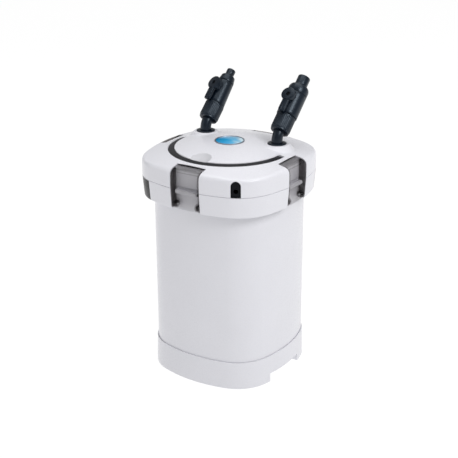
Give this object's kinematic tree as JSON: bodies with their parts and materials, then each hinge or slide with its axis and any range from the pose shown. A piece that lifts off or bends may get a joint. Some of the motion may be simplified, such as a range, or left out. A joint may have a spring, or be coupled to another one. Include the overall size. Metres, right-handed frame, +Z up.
{
  "type": "canister filter",
  "caption": "Square-round aquarium canister filter on a skirted base, with a clipped domed head, folding bail handle and swivelling elbows that carry ball taps and hose tails.",
  "frame": {"origin": "centre of the underside of the feet", "axes": "+Z up, -Y towards the front clip, +X towards the inlet side (right)"},
  "size_m": [0.224, 0.224, 0.4187],
  "materials": {
    "white_plastic": "satin",
    "base_plastic": "matte",
    "rubber": "matte",
    "smoke_plastic": "glossy, smoke tinted",
    "steel": "satin",
    "black_plastic": "satin",
    "blue_lens": "glossy",
    "ball_plastic": "polished",
    "core_iron": "laminated",
    "coil_copper": "varnished wire",
    "magnet": "ground",
    "impeller_plastic": "matte",
    "ceramic_white": "ground",
    "basket_plastic": "matte",
    "coarse_foam": "open foam",
    "fine_foam": "fine foam",
    "ceramic_media": "porous"
  },
  "bodies": {
    "canister": {"base_skirt": "white_plastic", "rubber_feet": "rubber", "canister_tub": "white_plastic", "collar_ring": "white_plastic", "grip_front_left": "smoke_plastic", "grip_rear_right": "smoke_plastic", "clip_hinge_pins": "steel", "head_cover": "white_plastic", "head_base": "base_plastic", "head_screws": "steel", "main_seal": "rubber", "cord_gland": "black_plastic", "badge_bezel": "steel", "badge_lens": "blue_lens", "handle_pivot_pins": "steel", "inlet_flange": "black_plastic", "outlet_flange": "black_plastic", "stator_core": "core_iron", "stator_coils": "coil_copper", "rotor_shaft": "ceramic_white", "shaft_bushes": "rubber", "volute_cover": "base_plastic", "volute_screws": "steel", "intake_pipe": "black_plastic", "basket_lower": "basket_plastic", "basket_middle": "basket_plastic", "basket_upper": "basket_plastic", "basket_lid": "basket_plastic", "coarse_sponge": "coarse_foam", "ceramic_rings": "ceramic_media", "fine_sponge": "fine_foam"},
    "front_clip": {"clip_front": "smoke_plastic"},
    "right_clip": {"clip_right": "smoke_plastic"},
    "rear_clip": {"clip_rear": "smoke_plastic"},
    "left_clip": {"clip_left": "smoke_plastic"},
    "bail": {"handle": "black_plastic"},
    "inlet_swivel": {"inlet_elbow": "black_plastic", "inlet_elbow_seals": "rubber", "inlet_tap_body": "black_plastic", "inlet_hose_tail": "black_plastic"},
    "outlet_swivel": {"outlet_elbow": "black_plastic", "outlet_elbow_seals": "rubber", "outlet_tap_body": "black_plastic", "outlet_hose_tail": "black_plastic"},
    "inlet_nut": {"inlet_union_nut": "black_plastic"},
    "outlet_nut": {"outlet_union_nut": "black_plastic"},
    "inlet_tap": {"inlet_tap_lever": "black_plastic", "inlet_tap_ball": "ball_plastic", "inlet_lever_screw": "black_plastic"},
    "outlet_tap": {"outlet_tap_lever": "black_plastic", "outlet_tap_ball": "ball_plastic", "outlet_lever_screw": "black_plastic"},
    "rotor": {"rotor_magnet": "magnet", "impeller": "impeller_plastic"}
  },
  "joints": [
    {"name": "front_clip_swing", "type": "hinge", "parent": "canister", "child": "front_clip", "pos_m": [0, -0.1052, 0.271], "axis": [1, 0, 0], "range_deg": [0, 75]},
    {"name": "right_clip_swing", "type": "hinge", "parent": "canister", "child": "right_clip", "pos_m": [0.1052, 0, 0.271], "axis": [0, 1, 0], "range_deg": [0, 75]},
    {"name": "rear_clip_swing", "type": "hinge", "parent": "canister", "child": "rear_clip", "pos_m": [0, 0.1052, 0.271], "axis": [-1, 0, 0], "range_deg": [0, 75]},
    {"name": "left_clip_swing", "type": "hinge", "parent": "canister", "child": "left_clip", "pos_m": [-0.1052, 0, 0.271], "axis": [0, -1, 0], "range_deg": [0, 75]},
    {"name": "handle_fold", "type": "hinge", "parent": "canister", "child": "bail", "pos_m": [0, 0, 0.3221], "axis": [-1, 0, 0], "range_deg": [0, 90]},
    {"name": "inlet_elbow_turn", "type": "hinge", "parent": "canister", "child": "inlet_swivel", "pos_m": [0.06, 0.0287, 0.31], "axis": [0, 0, 1], "range_deg": [-90, 25]},
    {"name": "outlet_elbow_turn", "type": "hinge", "parent": "canister", "child": "outlet_swivel", "pos_m": [-0.06, 0.0287, 0.31], "axis": [0, 0, 1], "range_deg": [-25, 90]},
    {"name": "inlet_nut_turn", "type": "hinge", "parent": "inlet_swivel", "child": "inlet_nut", "pos_m": [0.06054, 0.04283, 0.35774], "axis": [0.0271, 0.7066, 0.7071], "continuous": true},
    {"name": "outlet_nut_turn", "type": "hinge", "parent": "outlet_swivel", "child": "outlet_nut", "pos_m": [-0.05946, 0.04283, 0.35774], "axis": [0.0271, 0.7066, 0.7071], "continuous": true},
    {"name": "inlet_tap_turn", "type": "hinge", "parent": "inlet_swivel", "child": "inlet_tap", "pos_m": [0.06157, 0.06968, 0.38461], "axis": [-0.0271, -0.7066, 0.7071], "range_deg": [0, 90]},
    {"name": "outlet_tap_turn", "type": "hinge", "parent": "outlet_swivel", "child": "outlet_tap", "pos_m": [-0.05843, 0.06968, 0.38461], "axis": [0.2512, 0.6798, -0.689], "range_deg": [0, 90]},
    {"name": "rotor_spin", "type": "hinge", "parent": "canister", "child": "rotor", "pos_m": [0, 0, 0.29], "axis": [0, 0, 1], "continuous": true}
  ]
}
